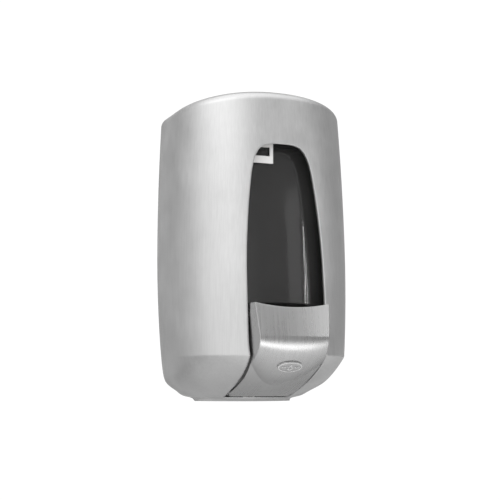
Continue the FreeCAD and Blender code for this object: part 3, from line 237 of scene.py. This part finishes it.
FINISHES = {
    "metallic_cover": metal_cover,
    "metallic_button": metal_button,
    "badge": badge_metal,
    "black_plastic": black_plastic,
    "galvanised": zinc,
    "steel_screw": steel,
    "smoked_plastic": smoked,
    "white_plastic": white_plastic,
    "dark_plastic": dark_plastic,
    "steel_pin": steel,
    "pump_plastic": pump_plastic,
    "seal_rubber": rubber,
    "valve_rubber": silicone,
    "spring_steel": steel,
    "steel_ball": steel,
    "lock_metal": lock_metal,
}
for part in frame["record"]["subparts"]:
    node = NODES[part["node"]]
    for slot in node.material_slots:
        slot.material = FINISHES[part["material_slot"]]


# ---- Relief on the badge ------------------------------------------------------------

RELIEF_SINK = 0.15 * MM
RAY_LEAD = 5 * MM
RIM_HEIGHT = 0.35 * MM
DROP_HEIGHT = 0.4 * MM
BAR_SHIFT = 4.9 * MM
OUTLINE_STEPS = 48


def badge_frame():
    """The badge's middle, its outward direction and the two directions across it."""
    mesh = NODES["button_badge"].data
    outward = Vector()
    for face in mesh.polygons:
        if face.normal.y < 0 and face.normal.z < 0:
            outward += face.normal * face.area
    outward.normalize()
    low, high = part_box("button_badge")
    middle = (Vector(low) + Vector(high)) / 2
    right = Vector((1, 0, 0))
    return middle, outward, right, outward.cross(right)


def relief(name, loops, height):
    """Closed raised strips, each between an outer and an inner outline, laid on the badge."""
    badge = NODES["button_badge"]
    tree = BVHTree.FromPolygons(
        [vertex.co for vertex in badge.data.vertices],
        [face.vertices for face in badge.data.polygons],
    )
    middle, outward, right, up = badge_frame()

    def on_badge(u, v, lift):
        start = middle + right * u + up * v + outward * RAY_LEAD
        hit = tree.ray_cast(start, -outward)[0]
        return (hit or middle) + outward * lift

    points = []
    faces = []
    for outer, inner in loops:
        count = len(outer)
        low_out = len(points)
        low_in = low_out + count
        high_out = low_in + count
        high_in = high_out + count
        for lift in (-RELIEF_SINK, height):
            points += [on_badge(u, v, lift) for u, v in outer]
            points += [on_badge(u, v, lift) for u, v in inner]
        for i in range(count):
            j = (i + 1) % count
            faces.append((low_out + i, low_out + j, high_out + j, high_out + i))
            faces.append((high_out + i, high_out + j, high_in + j, high_in + i))
            faces.append((high_in + i, high_in + j, low_in + j, low_in + i))
            faces.append((low_in + i, low_in + j, low_out + j, low_out + i))
    mesh = bpy.data.meshes.new(name)
    mesh.from_pydata(points, [], faces)
    mesh.materials.append(relief_metal)
    piece = bpy.data.objects.new(name, mesh)
    bpy.context.collection.objects.link(piece)
    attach(piece, "button")


def oval(half, half_up, middle=0.0):
    """An oval outline, moved sideways by middle."""
    turns = [2 * math.pi * step / OUTLINE_STEPS for step in range(OUTLINE_STEPS)]
    return [(half * math.cos(turn) + middle, half_up * math.sin(turn)) for turn in turns]


def drop(scale):
    """A droplet, point up."""
    outline = []
    for step in range(OUTLINE_STEPS):
        turn = 2 * math.pi * step / OUTLINE_STEPS
        width = math.sin(turn) * math.sin(turn / 2) ** 1.6
        outline.append((scale * width, scale * 1.15 * math.cos(turn)))
    return outline


relief_metal = surface(
    "relief_metal", grey(0.66), grey(0.74), rough=(0.18, 0.28), grain=(1500, 60, 60),
    depth=1e-6, metallic=1.0, edge=0.15 * MM,
)
rim = (oval(9.1 * MM, 4.8 * MM), oval(8.2 * MM, 4.0 * MM))
droplet = (drop(2.7 * MM), drop(1.5 * MM))
bars = [
    (oval(1.5 * MM, 0.5 * MM, shift), oval(0.9 * MM, 0.15 * MM, shift))
    for shift in (-BAR_SHIFT, BAR_SHIFT)
]
relief("badge_rim", [rim], RIM_HEIGHT)
relief("badge_drop", [droplet], DROP_HEIGHT)
relief("badge_bars", bars, RIM_HEIGHT)


# ---- Floor, light and camera --------------------------------------------------------

FLOOR_HALF = 2.0
FLOOR_DROP = 0.6
FLOOR_NEAR_Y = -0.4
FLOOR_FAR_Y = 0.7
LIGHT_AIM = Vector((0, -0.05, -0.01))
BACKDROP_LEVEL = 1.05
CAMERA_PLACE = Vector((-0.318, -0.838, -0.1115))
CAMERA_AIM = Vector((-0.0080, -0.0467, -0.013))
CAMERA_LENS = 82.6
CAMERA_SENSOR = 36.0


def floor_painted_shade():
    """Pale floor colour with painted shade: darker towards the wall."""
    painted_shade, tree, shader = new_material("floor_painted_shade")
    split = tree.nodes.new("ShaderNodeSeparateXYZ")
    tree.links.new(object_space(tree, (1, 1, 1)), split.inputs["Vector"])
    speckle = noise(tree, (60, 60, 60))
    drift = tree.nodes.new("ShaderNodeMath")
    drift.operation = "MULTIPLY_ADD"
    drift.inputs[1].default_value = 0.1
    tree.links.new(speckle, drift.inputs[0])
    tree.links.new(split.outputs["Y"], drift.inputs[2])
    reach = spread(tree, drift.outputs[0], 0, 1, FLOOR_NEAR_Y, FLOOR_FAR_Y)
    # Painted shade: the colour goes from pale at the front to dark grey towards the wall, with a
    # noisy boundary.
    shade = colour_ramp(tree, reach, grey(0.9), grey(0.38), 0, 1)
    tree.links.new(shade, shader.inputs["Base Color"])
    tree.links.new(spread(tree, speckle, 0.5, 0.6), shader.inputs["Roughness"])
    return painted_shade


def pale_floor():
    """A square floor well below the dispenser."""
    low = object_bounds()[0]
    mesh = bpy.data.meshes.new("floor")
    half = FLOOR_HALF
    level = low[2] - FLOOR_DROP
    corners = [(-half, -half, level), (half, -half, level), (half, half, level), (-half, half, level)]
    mesh.from_pydata(corners, [], [(0, 1, 2, 3)])
    floor = bpy.data.objects.new("floor", mesh)
    bpy.context.collection.objects.link(floor)
    mesh.materials.append(floor_painted_shade())


ROOM_LEVEL = 0.42
# Each patch: direction, cosine where it starts, cosine where it is full, strength.
GLOWS = [
    ((-0.76, -0.65, 0.05), 0.40, 0.88, 0.72),
    ((-0.2, -0.25, 1.0), 0.46, 0.95, 1.2),
    ((-1.0, 0.45, 0.1), 0.75, 1.0, 0.25),
]


def softbox(name, azimuth, elevation, distance, size, power):
    """A rectangular area light; azimuth 0 stands in front of the dispenser."""
    turn = math.radians(azimuth)
    rise = math.radians(elevation)
    away = Vector((math.sin(turn) * math.cos(rise), -math.cos(turn) * math.cos(rise), math.sin(rise)))
    light = bpy.data.lights.new(name, "AREA")
    light.shape = "RECTANGLE"
    light.size, light.size_y = size
    light.energy = power
    lamp = bpy.data.objects.new(name, light)
    bpy.context.collection.objects.link(lamp)
    lamp.location = LIGHT_AIM + away * distance
    lamp.rotation_euler = (-away).to_track_quat("-Z", "Y").to_euler()


def link_math(tree, operation, first, second):
    """A math node fed by numbers or by other nodes' outputs."""
    node = tree.nodes.new("ShaderNodeMath")
    node.operation = operation
    for index, value in enumerate((first, second)):
        if isinstance(value, (int, float)):
            node.inputs[index].default_value = value
        else:
            tree.links.new(value, node.inputs[index])
    return node.outputs[0]


def glow(tree, direction, towards, start, end, level):
    """A soft patch of light on the room's wall, brightest towards one direction."""
    dot = tree.nodes.new("ShaderNodeVectorMath")
    dot.operation = "DOT_PRODUCT"
    tree.links.new(direction, dot.inputs[0])
    dot.inputs[1].default_value = Vector(towards).normalized()
    remap = tree.nodes.new("ShaderNodeMapRange")
    remap.interpolation_type = "SMOOTHSTEP"
    remap.inputs["From Min"].default_value = start
    remap.inputs["From Max"].default_value = end
    remap.inputs["To Max"].default_value = level
    tree.links.new(dot.outputs["Value"], remap.inputs["Value"])
    return remap.outputs["Result"]


def studio_world():
    """White behind the dispenser, and a grey room with soft patches of light round it."""
    world = bpy.data.worlds.new("studio")
    bpy.context.scene.world = world
    world.use_nodes = True
    tree = world.node_tree
    tree.nodes.clear()
    out = tree.nodes.new("ShaderNodeOutputWorld")
    mix = tree.nodes.new("ShaderNodeMixShader")
    path = tree.nodes.new("ShaderNodeLightPath")
    room = tree.nodes.new("ShaderNodeBackground")
    seen = tree.nodes.new("ShaderNodeBackground")
    seen.inputs["Color"].default_value = (1, 1, 1, 1)
    seen.inputs["Strength"].default_value = BACKDROP_LEVEL
    room.inputs["Color"].default_value = (1, 1, 1, 1)
    coords = tree.nodes.new("ShaderNodeTexCoord")
    direction = coords.outputs["Generated"]
    total = ROOM_LEVEL
    for towards, start, end, level in GLOWS:
        total = link_math(tree, "ADD", total, glow(tree, direction, towards, start, end, level))
    tree.links.new(total, room.inputs["Strength"])
    tree.links.new(path.outputs["Is Camera Ray"], mix.inputs["Fac"])
    tree.links.new(room.outputs["Background"], mix.inputs[1])
    tree.links.new(seen.outputs["Background"], mix.inputs[2])
    tree.links.new(mix.outputs["Shader"], out.inputs["Surface"])


def photo_camera():
    """A long lens, low and to the left of the dispenser."""
    camera = bpy.data.cameras.new("camera")
    camera.lens = CAMERA_LENS
    camera.sensor_width = CAMERA_SENSOR
    holder = bpy.data.objects.new("camera", camera)
    bpy.context.collection.objects.link(holder)
    holder.location = CAMERA_PLACE
    holder.rotation_euler = (CAMERA_AIM - CAMERA_PLACE).to_track_quat("-Z", "Y").to_euler()
    bpy.context.scene.camera = holder


pale_floor()
studio_world()
softbox("low_front", 16, -37, 0.8, (0.55, 0.20), 0.62)
softbox("panel", 31.5, 16, 1.1, (0.20, 0.22), 0.10)
softbox("strip_near", 41, 14, 1.1, (0.012, 0.28), 0.22)
softbox("strip_far", 43.5, 14, 1.1, (0.010, 0.28), 0.18)
bpy.context.scene.view_settings.view_transform = "Standard"
photo_camera()
